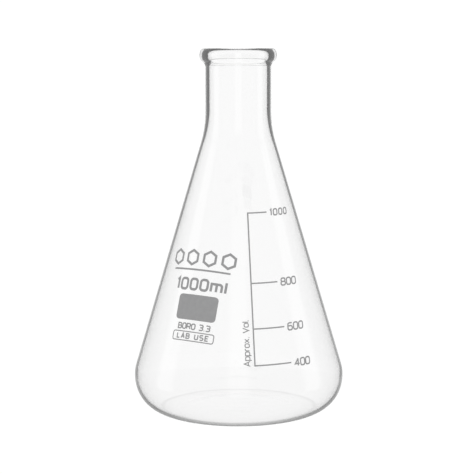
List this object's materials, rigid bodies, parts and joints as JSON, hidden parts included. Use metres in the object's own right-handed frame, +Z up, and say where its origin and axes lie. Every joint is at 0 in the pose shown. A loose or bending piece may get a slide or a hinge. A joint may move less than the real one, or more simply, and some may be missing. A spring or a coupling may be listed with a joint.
{
  "type": "conical laboratory flask",
  "caption": "Narrow-neck conical laboratory flask in clear borosilicate glass with a beaded rim and a fired enamel volume scale and label.",
  "frame": {"origin": "middle of the resting ring under the base", "axes": "+Z up along the flask's axis to the mouth; -Y is the front, between the label on the left and the volume scale on the right; +X is to the right seen from the front"},
  "size_m": [0.131, 0.131, 0.227],
  "materials": {
    "clear_glass": "polished",
    "enamel_print": "satin"
  },
  "bodies": {
    "root": {"capacity_01_1": "enamel_print", "capacity_02_0": "enamel_print", "capacity_03_0": "enamel_print", "capacity_04_0": "enamel_print", "capacity_05_m": "enamel_print", "capacity_06_l": "enamel_print", "glass_body": "clear_glass", "glass_type_01_B": "enamel_print", "glass_type_02_O": "enamel_print", "glass_type_03_R": "enamel_print", "glass_type_04_O": "enamel_print", "glass_type_06_3": "enamel_print", "glass_type_07_dot": "enamel_print", "glass_type_08_3": "enamel_print", "graduation_scale": "enamel_print", "hexagon_1": "enamel_print", "hexagon_2": "enamel_print", "hexagon_3": "enamel_print", "hexagon_4": "enamel_print", "hexagon_bar": "enamel_print", "note_01_A": "enamel_print", "note_02_p": "enamel_print", "note_03_p": "enamel_print", "note_04_r": "enamel_print", "note_05_o": "enamel_print", "note_06_x": "enamel_print", "note_07_dot": "enamel_print", "note_09_V": "enamel_print", "note_10_o": "enamel_print", "note_11_l": "enamel_print", "note_12_dot": "enamel_print", "note_frame": "enamel_print", "number_1000_01_1": "enamel_print", "number_1000_02_0": "enamel_print", "number_1000_03_0": "enamel_print", "number_1000_04_0": "enamel_print", "number_400_01_4": "enamel_print", "number_400_02_0": "enamel_print", "number_400_03_0": "enamel_print", "number_600_01_6": "enamel_print", "number_600_02_0": "enamel_print", "number_600_03_0": "enamel_print", "number_800_01_8": "enamel_print", "number_800_02_0": "enamel_print", "number_800_03_0": "enamel_print", "use_note_01_L": "enamel_print", "use_note_02_A": "enamel_print", "use_note_03_B": "enamel_print", "use_note_05_U": "enamel_print", "use_note_06_S": "enamel_print", "use_note_07_E": "enamel_print", "writing_panel": "enamel_print"}
  },
  "joints": []
}
